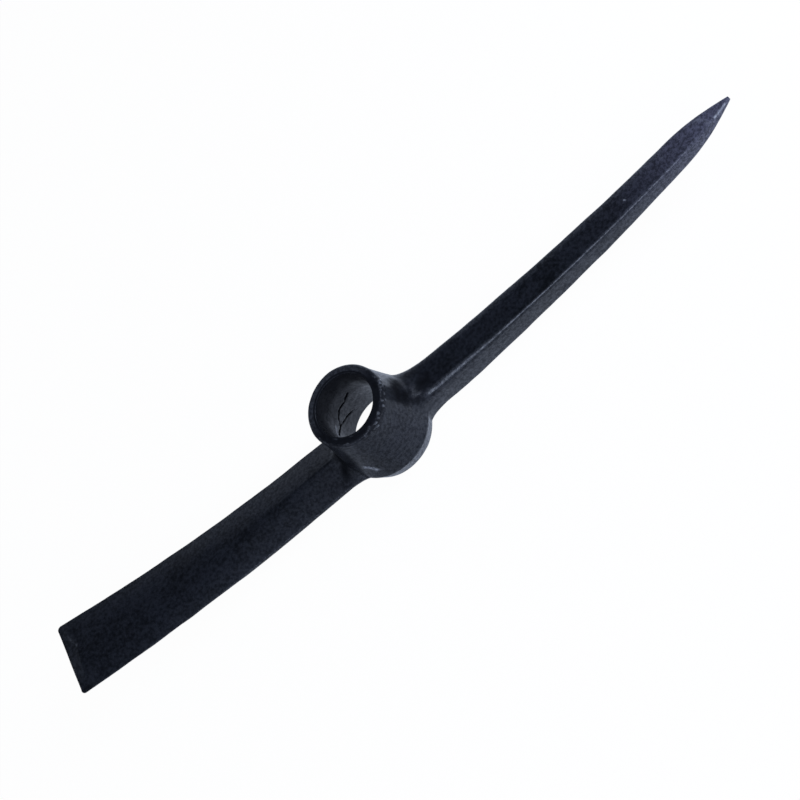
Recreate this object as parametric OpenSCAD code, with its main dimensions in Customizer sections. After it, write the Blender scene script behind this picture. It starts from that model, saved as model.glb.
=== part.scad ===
// Pick axe head: a flared round eye, a square pick arm drawn out to a point,
// and a flat blade arm spread out to a cross-cutting edge.
// It rests on the foot of its eye, with both arms bowed up towards the rim,
// which is the side that the handle points to. +X runs along the pick arm.

/* [Eye] */
// Height of the eye, from the foot that it rests on to the rim
eye_h = 53; // [46:1:64]
// Diameter of the straight part of the handle bore, below the rim
bore_d = 38; // [32:0.5:44]
// Length of the straight part of the bore
bore_straight = 16; // [10:1:24]
// Diameter of the flared part of the bore, at the foot
flare_d = 49; // [44:0.5:56]
// Thickness of the eye's wall at the rim
rim_wall = 5; // [4:0.25:8]
// Thickness of the eye's wall at the foot
foot_wall = 5.5; // [4.5:0.25:9]
// Rounding of the rim's outer edge
rim_round = 1.5; // [0.5:0.25:2]
// Rounding of the foot's outer edge
foot_round = 3; // [1:0.25:4]
// Bevel that breaks the two edges of the bore
bore_break = 0.8; // [0.4:0.1:1.2]

/* [Pick arm] */
// Reach of the tip from the eye's axis
pick_reach = 268; // [200:1:340]
// Width of the arm at the eye
pick_root_w = 21; // [16:0.2:26]
// Thickness of the arm at the eye
pick_root_t = 19.4; // [14:0.2:24]
// Width of the arm where its point begins
pick_neck_w = 14.6; // [10:0.2:18]
// Thickness of the arm where its point begins
pick_neck_t = 10.8; // [7:0.2:14]
// Rounding of the arm's upper edges at the eye
pick_root_round = 5; // [2:0.25:6]
// Rounding of the arm's lower edges, and of the upper ones where the point begins
pick_neck_round = 1.4; // [0.8:0.1:3]
// Length along which the rounding of the upper edges fades out
pick_round_run = 70; // [40:1:110]
// Distance from the eye's axis at which the arm begins to taper and bow
pick_bow_start = 57; // [40:1:90]
// Radius of the bow
pick_bow_r = 955; // [600:5:1600]
// Length of the steel point
point_len = 44; // [30:1:60]
// Size of the blunt end of the point
tip_size = 1.8; // [1:0.1:4]

/* [Blade arm] */
// Reach of the cutting edge from the eye's axis
blade_reach = 241.5; // [180:0.5:300]
// Width of the arm at the eye
blade_root_w = 37; // [30:0.5:42]
// Width of the cutting edge
blade_end_w = 49; // [40:0.5:70]
// Thickness along the middle of the arm at the eye
blade_root_t = 17.6; // [12:0.2:22]
// Thickness along the middle of the arm where its steel bit begins
blade_neck_t = 6.6; // [5:0.2:10]
// Thickness of the arm's long edges
blade_side_t = 2; // [1.4:0.1:4]
// Distance from the eye's axis at which the arm begins to bow
blade_bow_start = 22; // [20:1:60]
// Radius of the bow
blade_bow_r = 876; // [500:2:1600]
// Length of the steel bit
bit_len = 36; // [20:1:60]
// Length of the ground bevel on the bit
bevel_len = 7; // [4:0.5:14]
// Thickness of the cutting edge
edge_t = 1.4; // [0.6:0.1:2]
// Rounding of the bit's two corners
corner_round = 2.5; // [1:0.25:4]

/* [Root welds] */
// Height that the pick's weld climbs up the eye
pick_weld_rise = 19; // [10:0.5:26]
// Length of the pick's weld along the top of the arm
pick_weld_run = 40; // [24:1:60]
// Spread of the pick's weld on each side of the arm
pick_weld_spread = 3.5; // [2:0.25:6]
// Length of the pick's weld along the sides of the arm
pick_weld_side_run = 10; // [8:0.5:20]
// Height that the blade's weld climbs up the eye
blade_weld_rise = 12; // [6:0.5:18]
// Length of the blade's weld along the top of the arm
blade_weld_run = 20; // [12:1:40]
// Spread of the blade's weld on each side of the arm
blade_weld_spread = 1.5; // [0.5:0.25:4]
// Length of the blade's weld along the sides of the arm
blade_weld_side_run = 6; // [4:0.5:16]

/* [Hidden] */

$fn = 96;
paint = [0.085, 0.095, 0.125];
ground_paint = [0.14, 0.15, 0.18];
weld_paint = [0.10, 0.11, 0.14];

// Height of the arms' undersides above the plane that the foot rests on
foot_gap = 0.3;
// Thickness at which a weld ends on its arm
weld_lip = 0.3;
// Height of a pick weld's lower ends above the underside of the arm
weld_ledge = 1.2;
// Power of the eye's outward flare, and of the widening of the blade
flare_power = 1.3;
spread_power = 1.37;
// Power of the blade's roof: nearly a ridge at the eye, a flat crown at the bit
roof_powers = [1.15, 2];
// Power of the point's taper, where 1 is a straight cone
point_power = 1.85;
// Share of the blade's reach at which its ridge has faded out
roof_fade_share = 0.6;
// Share of the blunt tip's size that rounds its edges
tip_round_share = 0.25;
// Share of the foot's flat that its outer rounding may take
foot_round_share = 0.8;
// Counts of steps round a corner, over half a roof and along each form
corner_steps = 3;
roof_steps = 7;
arm_steps = 22;
point_steps = 8;
weld_steps = 10;
flare_steps = 8;

bore_r = bore_d / 2;
flare_r = flare_d / 2;
rim_r = bore_r + rim_wall;
foot_r = flare_r + foot_wall;
foot_edge = min(foot_round, foot_round_share * (foot_wall - bore_break));
pick_mid_z = foot_gap + pick_root_t / 2;
pick_top_z = foot_gap + pick_root_t;
blade_mid_z = foot_gap + blade_root_t / 2;
blade_top_z = foot_gap + blade_root_t;
neck_x = pick_reach - point_len;
bit_x = blade_reach - bit_len;
bevel_x = blade_reach - bevel_len;
// The welds stop short of the rim's rounding
weld_top_z = eye_h - 2 * rim_round;
pick_rise = min(pick_weld_rise, weld_top_z - pick_top_z);
blade_rise = min(blade_weld_rise, weld_top_z - blade_top_z);

function clamp01(u) = min(max(u, 0), 1);
function mix(a, b, u) = a + (b - a) * u;
function between(x, x0, x1) = clamp01((x - x0) / (x1 - x0));
function spaced(a, b, steps) = [for (i = [0 : steps]) mix(a, b, i / steps)];
// Quarter-round hollow: flat at 0, upright at 1
function hollow(u) = 1 - sqrt(1 - pow(clamp01(u), 2));

// Outside radius of the eye at height z, above its rounded foot
function eye_r(z) =
    mix(rim_r, foot_r, pow(between(z, eye_h - rim_round, foot_edge), flare_power));
// Rounded edge of an outline, round a centre from one angle to the next
function edge_arc(centre, r, a0, a1) =
    [for (a = spaced(a0, a1, flare_steps)) centre + r * [cos(a), sin(a)]];
function eye_outline() = concat(
    edge_arc([foot_r - foot_edge, foot_edge], foot_edge, -90, 0),
    [for (z = spaced(foot_edge, eye_h - rim_round, flare_steps)) [eye_r(z), z]],
    edge_arc([rim_r - rim_round, eye_h - rim_round], rim_round, 0, 90));
function bore_outline() = [
    [bore_r + bore_break, eye_h],
    [bore_r, eye_h - bore_break],
    [bore_r, eye_h - bore_straight],
    [flare_r, bore_break],
    [flare_r + bore_break, 0]];

// A section's own point [across, up], set square to the bowed middle line at x
function bowed(p, x, mid_z, start, r) =
    let (turn = x > start ? asin((x - start) / r) : 0)
    [x - p[1] * sin(turn), p[0], mid_z + r * (1 - cos(turn)) + p[1] * cos(turn)];
function on_pick(p, x) = bowed(p, x, pick_mid_z, pick_bow_start, pick_bow_r);
function on_blade(p, x) = bowed(p, x, blade_mid_z, blade_bow_start, blade_bow_r);

// Round-cornered section, from the right side over the top to the left and back below
function box_ring(half_w, top, bottom, top_round, low_round) = [
    for (q = [[1, 1, 0], [-1, 1, 90], [-1, -1, 180], [1, -1, 270]])
    for (i = [0 : corner_steps])
    let (a = q[2] + 90 * i / corner_steps,
         r = q[1] > 0 ? top_round : low_round,
         up = q[1] > 0 ? top - r : -bottom - r)
    [q[0] * (half_w - r) + r * cos(a), q[1] * up + r * sin(a)]];
// Roofed section: a crown above, thin upright sides, and a crown or a flat below
function roof_ring(half_w, side, crown, low_crown, power) = concat(
    [for (i = [-roof_steps : roof_steps]) let (u = -i / roof_steps)
        [half_w * u, mix(crown, side, pow(abs(u), power))]],
    [for (i = [-roof_steps : roof_steps]) let (u = i / roof_steps)
        [half_w * u, -mix(low_crown, side, pow(abs(u), power))]]);

// Sections of the pick arm
function pick_u(x) = between(x, pick_bow_start, neck_x);
function pick_half_w(x) = mix(pick_root_w, pick_neck_w, pick_u(x)) / 2;
function pick_half_t(x) = mix(pick_root_t, pick_neck_t, pick_u(x)) / 2;
function pick_round(x) =
    mix(pick_root_round, pick_neck_round, between(x, foot_r, foot_r + pick_round_run));
function pick_ring(x) = let (w = pick_half_w(x), t = pick_half_t(x))
    [for (p = box_ring(w, t, -t, pick_round(x), pick_neck_round)) on_pick(p, x)];
// Sections of the point, where u runs from its neck to its tip
function point_ring(u) =
    let (x = mix(neck_x, pick_reach, u),
         left = 1 - pow(u, point_power),
         w = mix(tip_size, pick_neck_w, left) / 2,
         t = mix(tip_size, pick_neck_t, left) / 2,
         r = mix(tip_size * tip_round_share, pick_neck_round, left))
    [for (p = box_ring(w, t, -t, r, r)) on_pick(p, x)];
// Sections of the pick's weld, which swell over the arm and beside it towards the eye
pick_face_x = eye_r(pick_top_z + pick_rise);
function pick_weld_ring(x) =
    let (climb = weld_lip + pick_rise * hollow(1 - (x - pick_face_x) / pick_weld_run),
         beside = 1 - (x - eye_r(pick_mid_z)) / pick_weld_side_run,
         w = pick_half_w(x) + weld_lip + pick_weld_spread * hollow(beside),
         t = pick_half_t(x),
         r = min(w - weld_lip, pick_round(x) + climb))
    [for (p = box_ring(w, t + climb, weld_ledge - t, r, weld_lip)) on_pick(p, x)];

// Sections of the blade arm
function blade_half_w(x) =
    mix(blade_root_w, blade_end_w, pow(between(x, bore_r, blade_reach), spread_power)) / 2;
function blade_half_t(x) = mix(blade_root_t, blade_neck_t, between(x, bore_r, bit_x)) / 2;
function roof_power(x) =
    mix(roof_powers[0], roof_powers[1], between(x, foot_r, blade_reach * roof_fade_share));
function blade_ring(x) = let (t = blade_half_t(x))
    [for (p = roof_ring(blade_half_w(x), blade_side_t / 2, t, t, roof_power(x))) on_blade(p, x)];
// Sections of the bit: full to the bevel, then ground down to the edge, with round corners
function bit_ring(x) =
    let (ground = between(x, bevel_x, blade_reach),
         in_corner = corner_round - min(corner_round, blade_reach - x),
         w = blade_half_w(x) - corner_round + sqrt(pow(corner_round, 2) - pow(in_corner, 2)),
         t = mix(blade_neck_t, edge_t, ground) / 2,
         side = min(blade_side_t / 2, t))
    [for (p = roof_ring(w, side, t, t, roof_power(x))) on_blade(p, x)];
function bit_stations() = concat(
    spaced(bit_x, bevel_x, corner_steps),
    spaced(blade_reach - corner_round, blade_reach, corner_steps));
// Sections of the blade's weld, which swell over the arm and its sides and stay within it below
blade_face_x = eye_r(blade_top_z + blade_rise);
function blade_weld_ring(x) =
    let (climb = weld_lip + blade_rise * hollow(1 - (x - blade_face_x) / blade_weld_run),
         beside = 1 - (x - eye_r(blade_mid_z)) / blade_weld_side_run,
         w = blade_half_w(x) + weld_lip + blade_weld_spread * hollow(beside),
         side = blade_side_t / 2 + weld_lip)
    [for (p = roof_ring(w, side, blade_half_t(x) + climb, side, roof_powers[1])) on_blade(p, x)];
// Stations of a weld: closest together where its hollow is steepest, by the eye
function weld_stations(face_x, run) = concat(
    [0],
    [for (a = spaced(90, 0, weld_steps)) face_x + run * (1 - sin(a))]);

// Triangles of a section's own face, in strips between its upper and its lower points
function cap(n, first) = [for (i = [0 : n / 2 - 2])
    each [[first + i, first + i + 1, first + n - 1 - i],
          [first + i + 1, first + n - 2 - i, first + n - 1 - i]]];
function flipped(faces) = [for (face = faces) [face[2], face[1], face[0]]];
// Solid through a row of sections that all have as many points
module skin(rings) {
    n = len(rings[0]);
    last = (len(rings) - 1) * n;
    walls = [for (k = [0 : n : last - n]) for (i = [0 : n - 1]) let (j = (i + 1) % n)
        each [[k + i, k + n + i, k + j], [k + j, k + n + i, k + n + j]]];
    polyhedron(
        points = [for (ring = rings) for (p = ring) p],
        faces = concat(cap(n, 0), walls, flipped(cap(n, last))));
}

// The eye's outer form with no bore, which the arms and welds are cut to
module eye_form() rotate_extrude() polygon(concat([[0, 0]], eye_outline(), [[0, eye_h]]));
module pick_form() skin([for (x = spaced(0, neck_x, arm_steps)) pick_ring(x)]);
module blade_form() mirror([1, 0, 0]) skin([for (x = spaced(0, bit_x, arm_steps)) blade_ring(x)]);

module eye_socket() {
    color(paint) rotate_extrude() polygon(concat(eye_outline(), bore_outline()));
}

module pick_arm() {
    color(paint) difference() {
        pick_form();
        eye_form();
    }
}

module pick_point() {
    color(ground_paint) skin([for (u = spaced(0, 1, point_steps)) point_ring(u)]);
}

module pick_root_weld() {
    color(weld_paint) difference() {
        skin([for (x = weld_stations(pick_face_x, pick_weld_run)) pick_weld_ring(x)]);
        pick_form();
        eye_form();
    }
}

module blade_arm() {
    color(paint) difference() {
        blade_form();
        eye_form();
    }
}

module blade_bit() {
    color(ground_paint) mirror([1, 0, 0]) skin([for (x = bit_stations()) bit_ring(x)]);
}

module blade_root_weld() {
    color(weld_paint) difference() {
        mirror([1, 0, 0])
            skin([for (x = weld_stations(blade_face_x, blade_weld_run)) blade_weld_ring(x)]);
        blade_form();
        eye_form();
    }
}

eye_socket();
pick_arm();
pick_point();
pick_root_weld();
blade_arm();
blade_bit();
blade_root_weld();
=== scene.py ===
"""Looks of a forged pick axe head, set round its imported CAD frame.

The head is a flared round eye with a square pick arm on one side and a flat blade
arm on the other, all under one coat of blue-black paint. Shapes are worked out in
millimetres, in the frame of the CAD part, and each finished mesh is in metres.
"""

import logging
import math
from collections.abc import Iterable
from dataclasses import dataclass
from enum import Enum

import bmesh
import bpy
from mathutils import Euler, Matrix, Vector, noise


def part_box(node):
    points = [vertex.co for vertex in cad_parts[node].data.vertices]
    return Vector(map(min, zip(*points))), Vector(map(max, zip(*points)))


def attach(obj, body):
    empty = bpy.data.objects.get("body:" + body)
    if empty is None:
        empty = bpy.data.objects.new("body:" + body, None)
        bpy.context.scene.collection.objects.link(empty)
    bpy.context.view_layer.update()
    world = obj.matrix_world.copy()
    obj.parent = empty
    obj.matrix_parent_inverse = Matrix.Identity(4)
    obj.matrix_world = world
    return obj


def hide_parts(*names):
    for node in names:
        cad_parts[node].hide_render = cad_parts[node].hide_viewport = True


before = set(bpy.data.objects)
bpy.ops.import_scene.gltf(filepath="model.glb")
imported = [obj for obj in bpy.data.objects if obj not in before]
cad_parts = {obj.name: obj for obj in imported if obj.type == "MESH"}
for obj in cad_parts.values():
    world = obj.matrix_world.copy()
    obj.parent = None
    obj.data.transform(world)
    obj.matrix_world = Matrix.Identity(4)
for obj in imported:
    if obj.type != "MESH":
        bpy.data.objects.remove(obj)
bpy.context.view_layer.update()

log = logging.getLogger("pick_axe_head")

MM = 0.001
BODY = "root"
# Seed of the noise that lets marks stray from their routes
SEED = 4

Point2 = tuple[float, float]
Point3 = tuple[float, float, float]
Colour = tuple[float, float, float]
Socket = bpy.types.NodeSocket

WHITE: Colour = (1.0, 1.0, 1.0)
BLACK: Colour = (0.0, 0.0, 0.0)


class Side(Enum):
    """The two ends of the head, as the sign of the X axis that an arm runs along."""

    PICK = 1
    BLADE = -1


class Slot(Enum):
    """The record's material slots."""

    EYE = "eye_paint"
    ARM = "arm_paint"
    GROUND = "ground_end_paint"
    ROOT = "root_weld_paint"


class Trace(Enum):
    """What each vertex notes of the wear of the paint, of forge laps, and of painted light and painted shade,
    from 0 to 1.
    """

    EDGE = "edge_wear"
    # Forge laps, and painted shade
    LAP_AND_PAINTED_SHADE = "lap_and_painted_shade"
    # Chipped and worn paint, and painted highlights
    BARE_AND_PAINTED_LIGHT = "bare_steel_and_painted_light"


def mix(a: float, b: float, share: float) -> float:
    """Returns the value a share of the way from a to b."""
    return a + (b - a) * share


def between(value: float, start: float, end: float) -> float:
    """Returns how far a value lies from start to end, kept from 0 to 1."""
    return min(max((value - start) / (end - start), 0.0), 1.0)


def smooth(share: float) -> float:
    """Returns a share eased at both ends."""
    return share * share * (3.0 - 2.0 * share)


def hollow(share: float) -> float:
    """Returns the height of a quarter-round hollow: flat at 0, upright at 1."""
    share = min(max(share, 0.0), 1.0)
    return 1.0 - math.sqrt(1.0 - share * share)


def spaced(start: float, end: float, steps: int) -> list[float]:
    """Returns evenly spaced values from start to end, both included."""
    return [mix(start, end, i / steps) for i in range(steps + 1)]


def arc(centre: Point2, radius: float, start: float, end: float, steps: int) -> list[Point2]:
    """Points of an arc.

    Args:
        centre: Centre of the arc.
        radius: Radius of the arc.
        start: First angle, in degrees.
        end: Last angle, in degrees.
        steps: Number of steps along the arc.

    Returns:
        The points, in order.
    """
    angles = [math.radians(a) for a in spaced(start, end, steps)]
    return [(centre[0] + radius * math.cos(a), centre[1] + radius * math.sin(a)) for a in angles]


def polar(radius: float, angle: float, z: float) -> Point3:
    """Returns the place at a radius, an angle in degrees and a height."""
    turn = math.radians(angle)
    return radius * math.cos(turn), radius * math.sin(turn), z


def set_down(name: str, data: bpy.types.ID) -> bpy.types.Object:
    """Puts an object into the scene.

    Args:
        name: Its name.
        data: What it shows: a mesh, a lamp or a camera.

    Returns:
        The object.
    """
    thing = bpy.data.objects.new(name, data)
    bpy.context.scene.collection.objects.link(thing)
    return thing


# Node trees


class NodeBench:
    """A node tree, with short calls that place its nodes and join them."""

    def __init__(self, tree: bpy.types.NodeTree) -> None:
        """Takes the tree to work on and clears it."""
        self.tree = tree
        tree.nodes.clear()

    def join(self, socket: Socket, value: object) -> None:
        """Joins an output to a socket, or sets a plain value on it.

        Args:
            socket: The socket.
            value: The output, or the value.
        """
        if isinstance(value, Socket):
            self.tree.links.new(value, socket)
        else:
            socket.default_value = value

    def put(self, kind: str, inputs: dict | None = None, **settings: object) -> bpy.types.Node:
        """Places a node.

        Args:
            kind: Type of the node.
            inputs: What goes into its sockets, by name or number: a value, or an output to join.
            settings: The node's own settings.

        Returns:
            The new node.
        """
        node = self.tree.nodes.new(kind)
        for name, value in settings.items():
            setattr(node, name, value)
        for name, value in (inputs or {}).items():
            self.join(node.inputs[name], value)
        return node

    def math(self, operation: str, a: Socket | float, b: Socket | float) -> Socket:
        """Returns the output of a sum on two values."""
        return self.put("ShaderNodeMath", {0: a, 1: b}, operation=operation).outputs[0]

    def weigh(self, a: Socket, a_share: float, b: Socket, b_share: float) -> Socket:
        """Returns the sum of two values, each times its share."""
        return self.math("ADD", self.math("MULTIPLY", a, a_share), self.math("MULTIPLY", b, b_share))

    def remap(self, value: Socket, start: float, end: float, low: float, high: float) -> Socket:
        """Returns a value carried smoothly from one range to another and kept inside it."""
        inputs = {"Value": value, "From Min": start, "From Max": end, "To Min": low, "To Max": high}
        return self.put("ShaderNodeMapRange", inputs, interpolation_type="SMOOTHSTEP").outputs[0]

    def blend(self, share: Socket | float, a: Socket | Colour, b: Socket | Colour) -> Socket:
        """Blends two colours.

        Args:
            share: Share of the second one.
            a: The first colour.
            b: The second colour.

        Returns:
            The output of the blend.
        """
        node = self.put("ShaderNodeMix", {0: share}, data_type="RGBA")
        for number, colour in ((6, a), (7, b)):
            self.join(node.inputs[number], colour if isinstance(colour, Socket) else (*colour, 1.0))
        return node.outputs[2]

    def noise(self, vector: Socket, size: float, detail: float) -> Socket:
        """Returns cloudy noise whose blots are about size millimetres across."""
        inputs = {"Vector": vector, "Scale": 1.0 / (size * MM), "Detail": detail}
        return self.put("ShaderNodeTexNoise", inputs).outputs["Fac"]

    def trace(self, kind: Trace) -> Socket:
        """Returns what the vertices note of one kind of wear."""
        return self.put("ShaderNodeAttribute", attribute_name=kind.value).outputs["Fac"]


class SurfaceGroup:
    """A shader node group that the finishes share, built once.

    Attributes:
        name: Its name.
        takes: Names and types of what it takes.
        gives: Names of what it gives.
    """

    name = ""
    takes: tuple[tuple[str, str], ...] = ()
    gives: tuple[str, ...] = ()

    def tree(self) -> bpy.types.NodeTree:
        """Finds the group, or builds it the first time.

        Returns:
            Its node tree.
        """
        found = bpy.data.node_groups.get(self.name)
        if found:
            return found
        tree = bpy.data.node_groups.new(self.name, "ShaderNodeTree")
        for name, kind in self.takes:
            tree.interface.new_socket(name, in_out="INPUT", socket_type=kind)
        for name in self.gives:
            tree.interface.new_socket(name, in_out="OUTPUT", socket_type="NodeSocketFloat")
        bench = NodeBench(tree)
        taken = bench.put("NodeGroupInput")
        given = self.build(bench, {name: taken.outputs[name] for name, _ in self.takes})
        bench.put("NodeGroupOutput", given)
        return tree

    def build(self, bench: NodeBench, taken: dict[str, Socket]) -> dict[str, Socket]:
        """Places the nodes on the group's bench, and returns by name what it gives."""
        raise NotImplementedError

    def use(self, bench: NodeBench, inputs: dict) -> bpy.types.Node:
        """Returns the group placed in a material, with its own inputs."""
        return bench.put("ShaderNodeGroup", inputs, node_tree=self.tree())


class ForgeScale(SurfaceGroup):
    """Hammer dapple, mill scale and small pits under the paint.

    Attributes:
        blots: Sizes in millimetres, and detail, of the clouds, the dapple, the grain and the fine grain.
        pit_size: Distance between the pits, in millimetres.
        pit_r: Radius of a pit, as a share of that.
        pit_clouds: Levels of the clouds between which pits set in.
        pit_depth: Depth of a pit, as a share of the relief.
    """

    blots = ((24.0, 3.0), (5.5, 4.0), (2.0, 3.0), (0.9, 3.0))
    pit_size = 3.4
    pit_r = 0.3
    pit_clouds = (0.45, 0.62)
    pit_depth = 0.5
    name = "forge_scale"
    takes = (("Vector", "NodeSocketVector"), ("Pitting", "NodeSocketFloat"))
    gives = ("Tone", "Gloss", "Sheen", "Height", "Specks")

    def build(self, bench: NodeBench, taken: dict[str, Socket]) -> dict[str, Socket]:
        """Places the group's nodes.

        Args:
            bench: The group's own bench.
            taken: What it takes, by name.

        Returns:
            What it gives, by name.
        """
        vector = taken["Vector"]
        broad, dapple, grain, fine = (bench.noise(vector, *blot) for blot in self.blots)
        cells = {"Vector": vector, "Scale": 1.0 / (self.pit_size * MM)}
        pit = bench.put("ShaderNodeTexVoronoi", cells).outputs["Distance"]
        pit = bench.remap(pit, 0.0, self.pit_r, 1.0, 0.0)
        pit = bench.math("MULTIPLY", pit, bench.remap(broad, *self.pit_clouds, 0.0, 1.0))
        pit = bench.math("MULTIPLY", pit, taken["Pitting"])
        cloud = bench.weigh(broad, 0.6, dapple, 0.4)
        relief = bench.weigh(dapple, 0.85, grain, 0.15)
        given = {"Height": bench.math("SUBTRACT", relief, bench.math("MULTIPLY", pit, self.pit_depth))}
        # Two noises with their shares, and the range that their sum is carried from and to
        sums = {
            "Tone": ((cloud, 0.5, grain, 0.5), (0.36, 0.64, 0.0, 1.0)),
            "Gloss": ((dapple, 0.75, grain, 0.25), (0.34, 0.66, 0.0, 1.0)),
            "Sheen": ((grain, 0.55, fine, 0.45), (0.38, 0.62, 0.25, 1.0)),
            "Specks": ((grain, 0.5, fine, 0.5), (0.4, 0.62, 0.45, 1.25)),
        }
        for name, (shares, carried) in sums.items():
            given[name] = bench.remap(bench.weigh(*shares), *carried)
        return given


class RubbedEdge(SurfaceGroup):
    """Paint rubbed thin along the edges, in broken patches.

    Attributes:
        patch: Size in millimetres, and detail, of the patches.
        speck: The same of the specks in them.
        shares: Shares of the edge, of the patches and of the specks in the wear.
        worn_run: Levels of the wear between which the paint goes.
    """

    patch = (9.0, 3.0)
    speck = (1.1, 2.0)
    shares = (0.8, 0.6, 0.5)
    worn_run = (0.95, 1.45)
    name = "rubbed_edge"
    takes = (("Vector", "NodeSocketVector"), ("Edge", "NodeSocketFloat"), ("Amount", "NodeSocketFloat"))
    gives = ("Rubbed",)

    def build(self, bench: NodeBench, taken: dict[str, Socket]) -> dict[str, Socket]:
        """Places the group's nodes.

        Args:
            bench: The group's own bench.
            taken: What it takes, by name.

        Returns:
            What it gives, by name.
        """
        patches, specks = (bench.noise(taken["Vector"], *blot) for blot in (self.patch, self.speck))
        edge, patch, speck = self.shares
        broken = bench.weigh(patches, patch, specks, speck)
        worn = bench.weigh(taken["Edge"], edge, broken, 1.0)
        gone = bench.remap(worn, *self.worn_run, 0.0, 1.0)
        return {"Rubbed": bench.math("MULTIPLY", gone, taken["Amount"])}


@dataclass(frozen=True)
class Paint:
    """A coat of blue-black paint over forged or ground steel.

    Attributes:
        name: Name of the material.
        slot: The record's slot for it; not used.
        deep: Colour of the thick paint.
        thin: Colour where it is thin or dusty.
        steel: Colour that shows where the paint is gone, also used for painted highlights.
        scuffed_and_lit: Colour towards the tip of the pick: worn paint, and partly a painted reflection that
            lightens the point.
        scuff_and_light_run: Distances from the axis between which that grows.
        scuff_and_light_power: Power of that growth.
        gloss: Roughness of the smoothest and the dullest paint.
        lap_rough: Roughness that laps and painted shade add.
        rubbed: How strongly its edges are rubbed.
        pitting: How strongly the steel is pitted.
        relief: Depth of the fine relief, in millimetres.
        grinding: Depth of the grinding lines, in millimetres.
        line: Width in millimetres, and detail, of those lines.
        squeeze: How far they are squeezed along each axis.
        slant: How far they are turned about Z, in radians.
    """

    name: str
    slot: Slot
    deep: Colour = (0.0020, 0.0025, 0.0036)
    thin: Colour = (0.0078, 0.0092, 0.0132)
    steel: Colour = (0.30, 0.31, 0.34)
    scuffed_and_lit: Colour = (0.075, 0.074, 0.106)
    scuff_and_light_run: Point2 = (100.0, 275.0)
    scuff_and_light_power: float = 3.0
    gloss: Point2 = (0.30, 0.46)
    lap_rough: float = 0.4
    rubbed: float = 0.12
    pitting: float = 0.6
    relief: float = 0.25
    grinding: float = 0.0
    line: Point2 = (0.7, 2.0)
    squeeze: Point3 = (1.0, 0.12, 0.12)
    slant: float = 0.3

    def material(self) -> bpy.types.Material:
        """Makes the node material of the coat.

        Returns:
            The material.
        """
        made = bpy.data.materials.new(self.name)
        made.use_nodes = True
        bench = NodeBench(made.node_tree)
        vector = bench.put("ShaderNodeTexCoord").outputs["Object"]
        scale = ForgeScale().use(bench, {"Vector": vector, "Pitting": self.pitting})
        edge = {"Vector": vector, "Edge": bench.trace(Trace.EDGE), "Amount": self.rubbed}
        colour = bench.blend(scale.outputs["Tone"], self.deep, self.thin)
        reach = bench.put("ShaderNodeSeparateXYZ", {0: vector}).outputs["X"]
        # Lighter towards the pick's point: worn paint, and partly a painted reflection
        scuff_and_light = bench.remap(reach, *(x * MM for x in self.scuff_and_light_run), 0.0, 1.0)
        scuff_and_light = bench.math("POWER", scuff_and_light, self.scuff_and_light_power)
        scuff_and_light = bench.math("MULTIPLY", scuff_and_light, scale.outputs["Specks"])
        colour = bench.blend(scuff_and_light, colour, self.scuffed_and_lit)
        colour = bench.blend(RubbedEdge().use(bench, edge).outputs["Rubbed"], colour, self.steel)
        # Steel colour where the paint is chipped or worn, and as painted highlights
        bare_and_light = bench.math("MULTIPLY", bench.trace(Trace.BARE_AND_PAINTED_LIGHT), scale.outputs["Specks"])
        colour = bench.blend(bare_and_light, colour, self.steel)
        # Black in forge laps, and as painted shade in the hollows, on the rim and in the bore
        lap_and_shade = bench.trace(Trace.LAP_AND_PAINTED_SHADE)
        colour = bench.blend(lap_and_shade, colour, BLACK)
        rough = bench.remap(scale.outputs["Gloss"], 0.0, 1.0, *self.gloss)
        rough = bench.math("ADD", rough, bench.math("MULTIPLY", lap_and_shade, self.lap_rough))
        sheen = bench.math("MULTIPLY", scale.outputs["Sheen"], bench.math("SUBTRACT", 1.0, lap_and_shade))
        relief = {"Height": scale.outputs["Height"], "Strength": 1.0, "Distance": self.relief * MM}
        normal = bench.put("ShaderNodeBump", relief).outputs["Normal"]
        if self.grinding:
            turned = {"Vector": vector, "Scale": self.squeeze, "Rotation": (0.0, 0.0, self.slant)}
            along = bench.put("ShaderNodeMapping", turned).outputs["Vector"]
            lines = bench.noise(along, *self.line)
            relief = {"Height": lines, "Strength": 1.0, "Distance": self.grinding * MM, "Normal": normal}
            normal = bench.put("ShaderNodeBump", relief).outputs["Normal"]
        coat = {
            "Base Color": colour,
            "Roughness": rough,
            "Normal": normal,
            "Specular IOR Level": 0.16,
            "Specular Tint": (0.75, 0.80, 1.0, 1.0),
            "Coat Weight": sheen,
            "Coat Roughness": 0.24,
            "Coat IOR": 1.4,
        }
        shader = bench.put("ShaderNodeBsdfPrincipled", coat)
        bench.put("ShaderNodeOutputMaterial", {"Surface": shader.outputs["BSDF"]})
        return made


# Shaping


@dataclass(frozen=True)
class Dents:
    """Unevenness that the hammer leaves all over the head.

    Attributes:
        wide: Size and depth of the wide swells.
        close: Size and depth of the close dapple.
        coat: Thickness of the scale and paint.
    """

    wide: Point2 = (19.0, 0.22)
    close: Point2 = (6.0, 0.08)
    coat: float = 0.4

    def depth(self, place: Vector) -> float:
        """Returns how far the surface stands proud at a place."""
        swells = (high * noise.noise(place / size) for size, high in (self.wide, self.close))
        return self.coat + sum(swells)


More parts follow.
